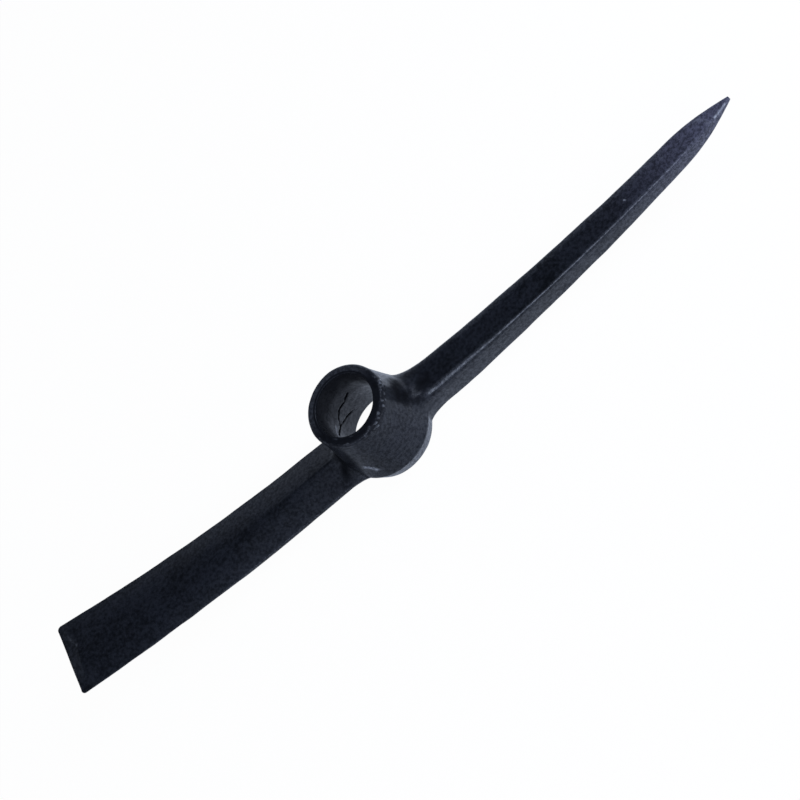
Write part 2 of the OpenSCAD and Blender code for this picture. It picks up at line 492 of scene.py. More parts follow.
@dataclass(frozen=True)
class Mark:
    """A small mark on the surface: round, or drawn out along a route.

    Attributes:
        route: Its points, in order.
        width: Half its width.
        height: How far it stands proud, or below 0 how deep it is.
        lap_and_shade: How dark and rough it is, from 0 to 1: forge laps, and elsewhere painted shade.
        bare_and_light: How far the steel colour shows, from 0 to 1: chips, and elsewhere painted highlights.
        wander: How far it strays from its route.
    """

    # Size of the bends of a route that strays
    BEND = 3.0

    route: tuple[Point3, ...]
    width: float
    height: float = 0.0
    lap_and_shade: float = 0.0
    bare_and_light: float = 0.0
    wander: float = 0.0

    def bounds(self) -> tuple[Vector, float]:
        """Finds a ball that holds the mark.

        Returns:
            Its centre and its radius.
        """
        ends = [Vector(p) for p in self.route]
        middle = sum(ends, Vector()) / len(ends)
        return middle, max((e - middle).length for e in ends) + self.width + self.wander

    def share(self, place: Vector) -> float:
        """Tells how much of the mark reaches a place.

        Args:
            place: The place.

        Returns:
            A share from 0 to 1.
        """
        if self.wander:
            place = place + noise.noise_vector(place / self.BEND) * self.wander
        ends = [Vector(p) for p in self.route]
        near = (place - ends[0]).length
        for start, end in zip(ends, ends[1:]):
            along = end - start
            share = min(max((place - start).dot(along) / along.length_squared, 0.0), 1.0)
            near = min(near, (place - start - along * share).length)
        return smooth(1.0 - min(near / self.width, 1.0))


# Painted shade: dark, rougher paint laid in the hollows where the two arms leave the eye
PAINTED_HOLLOW_SHADE = (
    Mark(
        ((28.5, 4.0, 31.0), (26.5, -1.0, 36.0), (26.0, -8.5, 36.5), (30.0, -6.0, 28.0), (40.0, -2.0, 21.0)),
        7.5, lap_and_shade=1.0, wander=1.5,
    ),
    Mark(((26.0, -9.5, 32.0), (29.0, -9.6, 26.5), (31.0, -10.0, 23.0)), 5.5, lap_and_shade=0.9, wander=1.0),
    Mark(((-29.2, -0.5, 21.2), (-29.0, -6.7, 18.6), (-32.5, -11.0, 13.5)), 8.5, lap_and_shade=1.0, wander=1.5),
)


class Forging:
    """One piece of the head while it is being shaped, in millimetres.

    Attributes:
        bm: Its mesh.
        traces: Its layers of wear, by kind.
        first: The first ring of its tube.
    """

    # Angle between two faces from which their edge shows as sharp
    SHARP = math.radians(38.0)
    # Bend of the surface, in radians a millimetre, at which wear starts and is full
    WEAR_BENDS = (0.16, 0.75)
    # Least width and length, in millimetres, that such a bend is measured over
    LEAST_WIDTH = 0.25
    LEAST_LENGTH = 1e-6
    # Distance at which two vertices are one
    MERGE = 1e-5
    # How far a face looks down where the hammer starts to spare it, and where it leaves it flat
    SPARED = (0.5, 0.95)

    def __init__(self) -> None:
        """Starts with nothing."""
        self.bm = bmesh.new()
        self.traces = {kind: self.bm.verts.layers.float.new(kind.value) for kind in Trace}
        self.first: list[bmesh.types.BMVert] = []

    def ring(self, places: list[Vector]) -> list[bmesh.types.BMVert]:
        """Makes a ring of edges.

        Args:
            places: The places that it runs through.

        Returns:
            Its corners, in the same order.
        """
        verts = list(bmesh.ops.create_circle(self.bm, segments=len(places), radius=1.0)["verts"])
        for vert, place in zip(verts, places):
            vert.co = place
        return verts

    def spin(self, outline: list[Point2], steps: int) -> None:
        """Turns an outline round the Z axis.

        Args:
            outline: The closed outline, as radii and heights.
            steps: Number of steps round.
        """
        self.ring([Vector((radius, 0.0, height)) for radius, height in outline])
        profile = [*self.bm.verts, *self.bm.edges]
        bmesh.ops.spin(
            self.bm, geom=profile, cent=(0.0, 0.0, 0.0), axis=(0.0, 0.0, 1.0),
            angle=math.tau, steps=steps, use_merge=True,
        )
        self.clean()

    def loft(self, sections: Iterable[list[Vector]]) -> None:
        """Draws a tube through a row of sections.

        Args:
            sections: Their places, as many in each.
        """
        rest = iter(sections)
        self.first = self.ring(next(rest))
        self.draw(rest)

    def draw(self, sections: Iterable[list[Vector]]) -> None:
        """Draws the tube further out of its first ring.

        Args:
            sections: Places of the sections that it runs through.
        """
        verts = self.first
        for places in sections:
            edges = [self.bm.edges.get((a, b)) for a, b in zip(verts, verts[1:] + verts[:1])]
            drawn = bmesh.ops.extrude_edge_only(self.bm, edges=edges)["geom"]
            fresh = {part for part in drawn if isinstance(part, bmesh.types.BMVert)}
            verts = [next(o for e in v.link_edges if (o := e.other_vert(v)) in fresh) for v in verts]
            for vert, place in zip(verts, places):
                vert.co = place
        self.clean()

    def clean(self) -> None:
        """Merges doubles and turns every face outwards."""
        bmesh.ops.remove_doubles(self.bm, verts=self.bm.verts, dist=self.MERGE)
        bmesh.ops.recalc_face_normals(self.bm, faces=self.bm.faces)
        self.bm.normal_update()

    def hammer(self, dents: Dents) -> None:
        """Leaves the hammer's unevenness on all but the faces that look straight down.

        Args:
            dents: The unevenness.
        """
        for vert in self.bm.verts:
            flat = between(-vert.normal.z, *self.SPARED)
            vert.co += vert.normal * dents.depth(vert.co) * (1.0 - flat)
            vert.co.z = max(vert.co.z, 0.0)
        self.bm.normal_update()

    def note(self, vert: bmesh.types.BMVert, kind: Trace, amount: float) -> None:
        """Notes one kind of trace on a vertex (wear, laps, painted light, painted shade), where there is less
        of it so far.
        """
        layer = self.traces[kind]
        vert[layer] = max(vert[layer], amount)

    def mark(self, marks: Iterable[Mark]) -> None:
        """Leaves small marks, and notes where they are dark, from laps and painted shade, and where they show
        the steel colour, from chips and painted highlights.

        Args:
            marks: The marks.
        """
        for mark in marks:
            middle, limit = mark.bounds()
            for vert in self.bm.verts:
                share = mark.share(vert.co) if (vert.co - middle).length < limit else 0.0
                if share > 0.0:
                    vert.co += vert.normal * mark.height * share
                    self.note(vert, Trace.LAP_AND_PAINTED_SHADE, mark.lap_and_shade * share)
                    self.note(vert, Trace.BARE_AND_PAINTED_LIGHT, mark.bare_and_light * share)
        self.bm.normal_update()

    def close_ends(self) -> None:
        """Closes the open ends of a tube."""
        bmesh.ops.holes_fill(self.bm, edges=[e for e in self.bm.edges if e.is_boundary], sides=0)
        bmesh.ops.recalc_face_normals(self.bm, faces=self.bm.faces)
        self.bm.normal_update()

    def rub_edges(self, wear: float) -> None:
        """Notes on each vertex how sharply the surface bends outwards there.

        Args:
            wear: How strongly its edges are worn.
        """
        for edge in self.bm.edges:
            length = max(edge.calc_length(), self.LEAST_LENGTH)
            width = sum(f.calc_area() for f in edge.link_faces) / (2.0 * length)
            bend = edge.calc_face_angle_signed(0.0) / max(width, self.LEAST_WIDTH)
            share = wear * between(bend, *self.WEAR_BENDS)
            for vert in edge.verts:
                self.note(vert, Trace.EDGE, share)

    def finish(self, name: str, node: str, paint: Paint) -> None:
        """Turns the shape into a painted piece that rides on the head.

        Args:
            name: Name of the piece.
            node: The CAD node that it stands for.
            paint: Its coat.
        """
        self.close_ends()
        for face in self.bm.faces:
            face.smooth = True
        for edge in self.bm.edges:
            edge.smooth = edge.calc_face_angle(0.0) < self.SHARP
        bmesh.ops.scale(self.bm, vec=(MM, MM, MM), verts=self.bm.verts)
        mesh = bpy.data.meshes.new(name)
        self.bm.to_mesh(mesh)
        self.bm.free()
        mesh.materials.append(bpy.data.materials.get(paint.name) or paint.material())
        piece = set_down(name, mesh)
        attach(piece, BODY)
        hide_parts(node)
        log.info("%s stands for %s, with %d faces", name, node, len(mesh.polygons))


# The eye


@dataclass(frozen=True)
class RimScale:
    """Rough scale on the outer edge of the eye's rim, with painted highlights on its grains and painted shade
    between them.

    Each pair of limits says where something ends and where it is full.

    Attributes:
        angle: Angle at its middle, in degrees.
        spread: Limits of the angle from there.
        depths: Limits of the depth below the rim.
        insets: Limits of the distance inside the rim's radius.
        height: Its height.
        size: Size of its grains.
        bare_and_light: How far the paint is rubbed off the grains.
        highlit_lumps: Limits of that, as shares of the height.
        painted_dimming: How dull the paint is between them.
        shaded_lumps: Limits of that, as shares of the height.
    """

    angle: float = -38.0
    spread: Point2 = (60.0, 35.0)
    depths: Point2 = (6.0, 2.0)
    insets: Point2 = (2.0, 0.8)
    height: float = 1.2
    size: float = 1.7
    # bare: How strongly the steel colour is painted on the grains, as a painted highlight.
    bare_and_light: float = 0.3
    highlit_lumps: Point2 = (0.1, 0.4)
    # dull: How dark the painted shade is between them.
    painted_dimming: float = 0.7
    shaded_lumps: Point2 = (0.25, 0.05)

    def lay(self, forging: Forging, eye: "Eye") -> None:
        """Raises the scale and notes the paint on it.

        Args:
            forging: The forging of the eye.
            eye: The eye.
        """
        for vert in forging.bm.verts:
            angle = math.degrees(math.atan2(vert.co.y, vert.co.x))
            near = between(abs(angle - self.angle), *self.spread)
            edge = between(vert.co.z, *(eye.height - depth for depth in self.depths))
            edge *= between(math.hypot(vert.co.x, vert.co.y), *(eye.rim_r - inset for inset in self.insets))
            lump = near * edge * max(noise.noise(vert.co / self.size), 0.0)
            vert.co += vert.normal * self.height * lump
            # Painted highlights on the tops of the grains, and painted shade between them
            forging.note(vert, Trace.BARE_AND_PAINTED_LIGHT, self.bare_and_light * between(lump, *self.highlit_lumps))
            forging.note(vert, Trace.LAP_AND_PAINTED_SHADE, self.painted_dimming * near * edge * between(lump, *self.shaded_lumps))
        forging.bm.normal_update()


@dataclass(frozen=True)
class EndTones:
    """Painted light and shade at the eye's ends: a painted reflection low on the foot, painted shade on the
    rim and in the bore, and a painted highlight on one half of the rim.

    Attributes:
        foot_painted_light: How strongly the steel colour is painted below the parting line, as a painted
            reflection.
        foot_run: Heights over the parting line between which that grows.
        painted_dimming: How dark the painted shade is on the rim and in the bore.
        rim_depth: Depth below the rim that still counts as the rim.
        bore_wall: Thickness of wall that still counts as the bore.
        deep_share: Share of the painted shade deep in the bore.
        deep_run: Depths below the rim between which it grows to the whole.
        rim_reach: How far past the radius of the bore's foot the rim may reach.
        rim_painted_light: How strongly the steel colour is painted on the light half of the rim, as a painted
            highlight.
        light_half_angle: Angle at the middle of that half, in degrees.
        light_half_run: Cosines of the angle from there between which it grows light.
        light_half_share: Share of the painted shade in it.
    """

    foot_painted_light: float = 0.2
    foot_run: Point2 = (0.5, -1.5)
    painted_dimming: float = 0.75
    rim_depth: float = 0.6
    bore_wall: float = 1.0
    deep_share: float = 0.45
    deep_run: Point2 = (20.0, 6.0)
    rim_reach: float = 2.0
    rim_painted_light: float = 0.08
    light_half_angle: float = 100.0
    light_half_run: Point2 = (-0.2, 0.5)
    light_half_share: float = 0.35

    def lay(self, forging: Forging, eye: "Eye") -> None:
        """Notes the painted light and the painted shade.

        Args:
            forging: The forging of the eye.
            eye: The eye.
        """
        bare_and_light = forging.traces[Trace.BARE_AND_PAINTED_LIGHT]
        for vert in forging.bm.verts:
            radius, angle = math.hypot(vert.co.x, vert.co.y), math.atan2(vert.co.y, vert.co.x)
            # Painted shade on the rim's face
            painted_dimming = between(vert.co.z, eye.height - self.rim_depth, eye.height)
            facing = math.cos(angle - math.radians(self.light_half_angle))
            thin = painted_dimming * smooth(between(facing, *self.light_half_run))
            if radius < eye.bore_r + self.bore_wall:
                # Painted shade in the bore, darkest near the rim
                high = smooth(between(vert.co.z, *(eye.height - depth for depth in self.deep_run)))
                painted_dimming = mix(self.deep_share, 1.0, high)
            elif radius < eye.flare_r + self.rim_reach:
                # Less painted shade, and a painted highlight, on the rim's light half
                painted_dimming *= mix(1.0, self.light_half_share, thin)
                forging.note(vert, Trace.BARE_AND_PAINTED_LIGHT, self.rim_painted_light * thin)
            else:
                # Painted reflection on the foot below the parting line
                low = smooth(between(vert.co.z, *(eye.parting_z + over for over in self.foot_run)))
                forging.note(vert, Trace.BARE_AND_PAINTED_LIGHT, self.foot_painted_light * low)
            forging.note(vert, Trace.LAP_AND_PAINTED_SHADE, self.painted_dimming * painted_dimming * (1.0 - vert[bare_and_light]))


@dataclass
class Eye:
    """The flared round eye that takes the handle.

    Attributes:
        height: Height from the foot to the rim.
        foot_r: Outside radius of the CAD foot.
        parting_z: Height of the parting line of the dies, where it is widest.
        belly: How far it stands out there.
        draft: How far it draws in from there to the foot.
        bore_r: Radius of the bore's straight part.
        straight: Length of that part.
        flare_r: Radius of the bore at the foot.
        rim_wall: Wall at the rim.
        rim_round: Rounding of the rim.
        foot_round: Rounding of the foot.
        bore_break: Rounding of the bore's edges.
        flare_power: Power of the outside's flare.
        bore_power: Power of the bore's flare.
        steps: Steps round the eye.
        round_steps: Steps on a round, and on the rim's flat.
        draft_steps: Steps up to the parting line.
        wall_steps: Steps from there to the rim.
        break_steps: Steps on an edge of the bore, and on the foot's flat.
        bore_steps: Steps down the bore.
        line_steps: Steps along a rim line.
        laps: Laps in the bore, as routes of angles in degrees and heights.
        bore_painted_light: A painted light patch low in the bore, in the same way.
        wall_painted_highlight: A painted highlight low on the outside, in the same way.
        rim_highlight_lines: Painted highlight lines along the rim's edges: radius, first and last angle.
        wear: How strongly its edges are worn.
        scale: Scale on its rim, with painted highlights and painted shade.
        tones: Painted light and shade at its ends.
    """

    height: float
    foot_r: float
    parting_z: float = 10.0
    belly: float = 1.2
    draft: float = 2.8
    bore_r: float = 19.4
    straight: float = 13.0
    flare_r: float = 24.9
    rim_wall: float = 5.2
    rim_round: float = 1.7
    foot_round: float = 0.8
    bore_break: float = 0.4
    flare_power: float = 1.3
    bore_power: float = 1.25
    steps: int = 320
    round_steps: int = 6
    draft_steps: int = 12
    wall_steps: int = 54
    break_steps: int = 4
    bore_steps: int = 104
    line_steps: int = 8
    laps: tuple[tuple[Point2, ...], ...] = (
        ((92.0, 31.0), (111.0, 27.3), (126.0, 28.8), (141.0, 25.7), (149.0, 22.4), (169.0, 26.8)),
        ((110.0, 10.5), (117.0, 13.8), (133.0, 17.9), (141.0, 20.2), (149.0, 22.4)),
    )
    bore_painted_light: tuple[Point2, ...] = ((157.0, 29.0), (167.0, 30.0), (174.0, 29.5))
    wall_painted_highlight: tuple[Point2, ...] = ((-128.0, 23.5), (-122.0, 22.0), (-117.0, 19.0))
    rim_highlight_lines: tuple[Point3, ...] = ((20.4, -158.0, -80.0), (23.7, -165.0, -112.0), (24.2, 20.0, 75.0))
    wear: float = 0.6
    scale: RimScale = RimScale()
    tones: EndTones = EndTones()

    @property
    def rim_r(self) -> float:
        """Outside radius at the rim."""
        return self.bore_r + self.rim_wall

    def outside(self, z: float) -> float:
        """Finds the outside radius.

        Args:
            z: Height over the foot.

        Returns:
            The radius at that height.
        """
        widest = self.foot_r + self.belly
        if z < self.parting_z:
            return widest - self.draft * between(z, self.parting_z, 0.0)
        share = between(z, self.height - self.rim_round, self.parting_z)
        return mix(self.rim_r, widest, share ** self.flare_power)

    def bore(self, z: float) -> float:
        """Returns the radius of the bore at a height."""
        share = between(z, self.height - self.straight, 0.0)
        return mix(self.bore_r, self.flare_r, share ** self.bore_power)

    def outline(self) -> list[Point2]:
        """Draws the closed outline of the wall.

        Returns:
            Its points, as radii and heights.
        """
        rim_z, lip_z = self.height - self.rim_round, self.height - self.bore_break
        lip_r, heel_r = self.bore_r + self.bore_break, self.flare_r + self.bore_break
        rim_flat, foot_flat = self.rim_r - self.rim_round, self.outside(self.foot_round) - self.foot_round
        draft_zs = spaced(self.foot_round, self.parting_z, self.draft_steps)
        wall_zs = spaced(self.parting_z, rim_z, self.wall_steps)
        bore_zs = spaced(lip_z, self.bore_break, self.bore_steps)
        return [
            *arc((foot_flat, self.foot_round), self.foot_round, -90, 0, self.round_steps)[:-1],
            *((self.outside(z), z) for z in draft_zs[:-1] + wall_zs),
            *arc((rim_flat, rim_z), self.rim_round, 0, 90, self.round_steps)[1:],
            *((r, self.height) for r in spaced(rim_flat, lip_r, self.round_steps)[1:-1]),
            *arc((lip_r, lip_z), self.bore_break, 90, 180, self.break_steps),
            *((self.bore(z), z) for z in bore_zs[1:-1]),
            *arc((heel_r, self.bore_break), self.bore_break, 180, 270, self.break_steps),
            *((r, 0.0) for r in spaced(heel_r, foot_flat, self.break_steps)[1:-1]),
        ]

    def marks(self, coat: float) -> list[Mark]:
        """Sets out the small marks on the eye.

        Args:
            coat: Thickness of the scale and paint on it.

        Returns:
            The marks.
        """
        cracks = [tuple(polar(self.bore(z), a, z) for a, z in route) for route in self.laps]
        inside = tuple(polar(self.bore(z), a, z) for a, z in self.bore_painted_light)
        outside = tuple(polar(self.outside(z) + coat, a, z) for a, z in self.wall_painted_highlight)
        lines = [
            tuple(polar(r, a, self.height) for a in spaced(start, end, self.line_steps))
            for r, start, end in self.rim_highlight_lines
        ]
        return [
            *(Mark(route, width=1.05, height=-0.8, lap_and_shade=1.0, wander=0.7) for route in cracks),
            # Painted highlight lines along the rim's edges
            *(Mark(route, width=0.6, bare_and_light=0.4, wander=0.6) for route in lines),
            # Painted light patch in the bore
            Mark(inside, width=2.2, bare_and_light=1.0, wander=0.6),
            # Painted highlight low on the outside
            Mark(outside, width=2.5, bare_and_light=0.6, wander=0.8),
        ]

    def build(self, paint: Paint, dents: Dents) -> None:
        """Spins the wall, roughens it and dresses it.

        Args:
            paint: Its coat.
            dents: The hammer's unevenness.
        """
        forging = Forging()
        forging.spin(self.outline(), self.steps)
        self.scale.lay(forging, self)
        forging.hammer(dents)
        forging.mark(self.marks(dents.coat))
        # Painted shade in the hollows at the arms' roots
        forging.mark(PAINTED_HOLLOW_SHADE)
        self.tones.lay(forging, self)
        forging.rub_edges(self.wear)
        forging.finish("forged_eye", "eye_socket", paint)


# The arms


@dataclass(frozen=True)
class Swell:
    """How far a section stands out from the plain arm.

    Attributes:
        above: Over the top.
        far: Towards +Y.
        near: Towards -Y.
        below: Under the bottom.
    """

    above: float = 0.0
    far: float = 0.0
    near: float = 0.0
    below: float = 0.0


# The plain arm, and the core of it that runs on inside its fillet
PLAIN = Swell()
CORE = Swell(-0.15, -0.15, -0.15, -0.15)


@dataclass(frozen=True)
class Fillet:
    """The smooth hollow that joins an arm to the eye.

    Attributes:
        top: Height up the eye, and length along the top.
        far: Spread and length towards +Y.
        near: Spread and length towards -Y.
        root: Depth in the eye's wall at which it starts.
        steps: Steps along it.
    """

    top: Point2
    far: Point2
    near: Point2
    root: float = 2.0
    steps: int = 64

    @property
    def length(self) -> float:
        """Length of the fillet along the arm."""
        return max(length for _, length in (self.top, self.far, self.near))

    def stations(self) -> list[tuple[float, Swell]]:
        """Sets out the sections of the fillet.

        Returns:
            Their distances from the eye's wall, each with its swell.
        """
        aways = [self.length * (1.0 - math.sin(math.radians(a))) for a in spaced(90.0, 0.0, self.steps)]
        found = []
        for away in aways:
            swells = [size * hollow(1.0 - away / run) for size, run in (self.top, self.far, self.near)]
            found.append((away, Swell(*swells)))
        return [(-self.root, found[0][1]), *found]


@dataclass(frozen=True)
class Bow:
    """Middle line of an arm: straight out of the eye, then bowed up on a circle.

    Attributes:
        side: The end of the head that it makes.
        mid_z: Its height at the eye.
        start: Distance from the axis at which it bows.
        radius: Radius of the bow.
        wrap: Length along which the sections straighten out from the eye's curve.
    """

    side: Side
    mid_z: float
    start: float
    radius: float
    wrap: float = 34.0

    def place(self, point: Point2, reach: float) -> Vector:
        """Finds where a point of a section lies.

        Args:
            point: The point in its section, across and up.
            reach: Distance of the section from the eye's axis.

        Returns:
            Its place in the head.
        """
        across, up = point
        turn = math.asin(max(reach - self.start, 0.0) / self.radius)
        rise = self.radius * (1.0 - math.cos(turn)) + up * math.cos(turn)
        return Vector((self.side.value * (reach - up * math.sin(turn)), across, self.mid_z + rise))


@dataclass
class Arm:
    """An arm of the head, with its fillet at the eye and its ground end.

    Attributes:
        eye: The eye that it comes out of.
        reach: Distance of its end from the eye's axis.
        bow: Its middle line.
        fillet: Its fillet.
        names: Names of the fillet, the arm and the end.
        nodes: The CAD nodes that these stand for.
        marks: Small marks on it.
        wear: How strongly its edges are worn.
    """

    eye: Eye
    reach: float
    bow: Bow
    fillet: Fillet
    names: tuple[str, str, str]
    nodes: tuple[str, str, str]
    marks: tuple[Mark, ...]
    wear: float

    def section(self, reach: float, swell: Swell = PLAIN) -> list[Point2]:
        """Returns a section's own points, across and up, at a distance from the axis."""
        raise NotImplementedError

    def end_stations(self) -> list[float]:
        """Returns the distances of the ground end's sections from the axis."""
        raise NotImplementedError

    def ring(self, reach: float, swell: Swell = PLAIN) -> list[Vector]:
        """Places a section, curved round the eye where it is close to it.

        Args:
            reach: Its distance from the eye's axis.
            swell: How far it stands out from the plain arm.

        Returns:
            Its places in the head.
        """
        places = [self.bow.place(point, reach) for point in self.section(reach, swell)]
        curved = 1.0 - smooth(between(reach, self.eye.foot_r, self.eye.foot_r + self.bow.wrap))
        for place in places if curved > 0.0 else ():
            radius = reach + self.eye.outside(place.z) - self.eye.outside(self.bow.mid_z)
            round_eye = math.sqrt(max(radius * radius - place.y * place.y, 1.0))
            place.x = self.bow.side.value * mix(abs(place.x), round_eye, curved)
        return places

    def build(self, paints: tuple[Paint, Paint, Paint], dents: Dents) -> None:
        """Builds the fillet, the arm and its ground end, and dresses them.

        Args:
            paints: Coats of the fillet, the arm and the end.
            dents: The hammer's unevenness.
        """
        wall = self.eye.outside(self.bow.mid_z)
        joint, ends = wall + self.fillet.length, self.end_stations()
        rows = (
            [self.ring(wall + away, swell) for away, swell in self.fillet.stations()],
            [self.ring(x) for x in spaced(joint, ends[0], int(ends[0] - joint))],
            [self.ring(x) for x in ends],
        )
        core = [self.ring(x, CORE) for x in (joint, mix(wall, joint, 0.5), wall, wall - self.fillet.root)]
        for row, inside, name, node, paint in zip(rows, ((), core, ()), self.names, self.nodes, paints):
            forging = Forging()
            forging.loft(row)
            forging.hammer(dents)
            # Painted shade in the hollows at the arms' roots
            forging.mark(PAINTED_HOLLOW_SHADE + self.marks)
            forging.rub_edges(self.wear)
            forging.draw(inside)
            forging.finish(name, node, paint)


@dataclass
class PickArm(Arm):
    """The square arm that is drawn out to a point.

    Attributes:
        root: Width and thickness at the eye.
        neck: Width and thickness where the point begins.
        root_bevels: Bevels of the far and near upper edges at the eye.
        neck_bevels: The same where the point begins.
        low_round: Rounding of the lower edges.
        bevel_run: Length along which the bevels shrink.
        far_spread: How many times wider than high the far bevel is.
        uneven: Unevenness of the near bevel, as a share of it.
        uneven_size: Length of its swells.
        facet: How flat the near bevel is, from 0, round, to 1, plain.
        fillet_facet: Share of that on the fillet, and the swell from which it is so.
        bevel_growth: How far the bevels grow with the swell, as a share of it.
        bevel_limit: Share of half the width that a bevel may take.
        draft: How far the sides stand out along the parting line.
        point_len: Length of the point.
        point_power: Power of the point's taper.
        tip: Size of the blunt tip.
        tip_round: Rounding of its edges.
        lean: How far the arm leans to the far side.
        corner_steps: Steps round a corner.
        side_steps: Steps along a side.
        point_steps: Steps along the point.
    """

    bow: Bow = Bow(Side.PICK, mid_z=10.0, start=57.0, radius=955.0)
    fillet: Fillet = Fillet(top=(9.0, 14.0), far=(4.2, 40.0), near=(4.3, 14.0))
    names: tuple[str, str, str] = ("pick_root_fillet", "drawn_pick_arm", "ground_pick_point")
    nodes: tuple[str, str, str] = ("pick_root_weld", "pick_arm", "pick_point")
    marks: tuple[Mark, ...] = (
        Mark(((191.9, -0.9, 26.0),), 0.9, 0.3, bare_and_light=1.0),
        # A shallow groove along the near side, darkened as painted shade
        Mark(
            ((32.6, -11.0, 17.6), (43.3, -10.7, 16.1), (54.9, -10.6, 14.8)),
            0.9, -0.35, lap_and_shade=0.6, wander=0.5,
        ),
        # Painted highlight: a light streak near the point
        Mark(((256.0, -3.7, 33.8), (260.0, -2.8, 34.1), (264.6, -1.7, 34.3)), 1.3, bare_and_light=0.9, wander=0.3),
        Mark(((246.5, 3.6, 33.0), (249.5, 0.6, 33.4), (252.7, -4.1, 33.1)), 1.7, 0.06, bare_and_light=0.16, wander=1.4),
        Mark(((221.8, 1.5, 29.9),), 1.5, -0.35, bare_and_light=0.1),
        # Painted highlight: a faint light band along the far upper edge
        Mark(
            (
                (70.0, 8.4, 19.7), (109.5, 7.6, 20.2), (149.3, 6.8, 22.2),
                (186.1, 6.1, 25.6), (223.0, 5.4, 30.4),
            ),
            3.0, bare_and_light=0.05, wander=1.8,
        ),
    )
    wear: float = 1.0
    root: Point2 = (21.4, 19.4)
    neck: Point2 = (14.8, 10.8)
    root_bevels: Point2 = (3.0, 4.2)
    neck_bevels: Point2 = (1.8, 1.3)
    low_round: float = 1.7
    bevel_run: float = 75.0
    far_spread: float = 2.2
    uneven: float = 0.25
    uneven_size: float = 7.0
    facet: float = 0.5
    fillet_facet: Point2 = (0.4, 6.0)
    bevel_growth: float = 0.35
    bevel_limit: float = 0.92
    draft: float = 0.12
    point_len: float = 44.0
    point_power: float = 1.85
    tip: float = 1.2
    tip_round: float = 0.35
    lean: float = 0.35
    corner_steps: int = 8
    side_steps: int = 10
    point_steps: int = 70

    @property
    def neck_x(self) -> float:
        """Distance of the point's start from the eye's axis."""
        return self.reach - self.point_len

    def end_stations(self) -> list[float]:
        """Returns the distances of the point's sections from the axis."""
        return spaced(self.neck_x, self.reach, self.point_steps)

    def half(self, reach: float) -> Point2:
        """Finds the size of a section.

        Args:
            reach: Its distance from the eye's axis.

        Returns:
            Half its width and half its thickness.
        """
        share = between(reach, self.bow.start, self.neck_x)
        width, thickness = (mix(a, b, share) for a, b in zip(self.root, self.neck))
        if reach > self.neck_x:
            left = 1.0 - between(reach, self.neck_x, self.reach) ** self.point_power
            width, thickness = (mix(self.tip, size, left) for size in self.neck)
        return width / 2.0, thickness / 2.0

    def section(self, reach: float, swell: Swell = PLAIN) -> list[Point2]:
        """Draws a bevelled section of the arm.

        Args:
            reach: Its distance from the eye's axis.
            swell: How far it stands out from the plain arm.

        Returns:
            Its points, across and up, anticlockwise from the far side.
        """
        width, thick = self.half(reach)
        far, near = width + swell.far, width + swell.near
        top, bottom = thick + swell.above, -thick - swell.below
        fade = between(reach, self.eye.foot_r, self.eye.foot_r + self.bevel_run)
        ground = between(reach, self.neck_x, self.reach)
        bevels = zip(self.root_bevels, self.neck_bevels)
        far_up, near_up = (mix(mix(a, b, fade), self.tip_round, ground) for a, b in bevels)
        near_up *= 1.0 + self.uneven * noise.noise((reach / self.uneven_size, 0.0, 0.0))
        grown = self.bevel_growth * max(swell.above, 0.0)
        far_over = min(self.far_spread * far_up + grown, self.bevel_limit * far)
        far_up, near_up = far_up + grown, min(near_up + grown, self.bevel_limit * near)
        low = mix(self.low_round, self.tip_round, ground)
        least, full = self.fillet_facet
        flat = self.facet * mix(1.0, least, between(swell.above, 0.0, full))
        corners = [
            self.corner((far - far_over, top - far_up), (far_over, far_up), 0.0, 0.0),
            self.corner((near_up - near, top - near_up), (near_up, near_up), 90.0, flat),
            self.corner((low - near, bottom + low), (low, low), 180.0, 0.0),
            self.corner((far - low, bottom + low), (low, low), 270.0, 0.0),
        ]
        points: list[Point2] = []
        for here, after, out in zip(corners, corners[1:] + corners[:1], (0.0, -1.0, 0.0, 1.0)):
            start, end = Vector(here[-1]), Vector(after[0])
            points += here
            for share in spaced(0.0, 1.0, self.side_steps)[1:-1]:
                proud = out * self.draft * (1.0 - ground) * (1.0 - abs(2.0 * share - 1.0))
                points.append(tuple(start.lerp(end, share) + Vector((proud, 0.0))))
        shift = self.lean * fade
        return [(across + shift, up) for across, up in points]

    def corner(self, centre: Point2, size: Point2, start: float, flat: float) -> list[Point2]:
        """Draws one corner of a section, between a round and a bevel.

        Args:
            centre: Centre of the round.
            size: Its radii, across and up.
            start: Its first angle, in degrees.
            flat: How flat the corner is, from 0, round, to 1, plain.

        Returns:
            Its points, over a quarter turn.
        """
        turns = arc((0.0, 0.0), 1.0, start, start + 90.0, self.corner_steps)
        bend = [Vector(centre) + Vector(size) * Vector(turn) for turn in turns]
        chord = [bend[0].lerp(bend[-1], share) for share in spaced(0.0, 1.0, self.corner_steps)]
        return [tuple(a.lerp(b, flat)) for a, b in zip(bend, chord)]


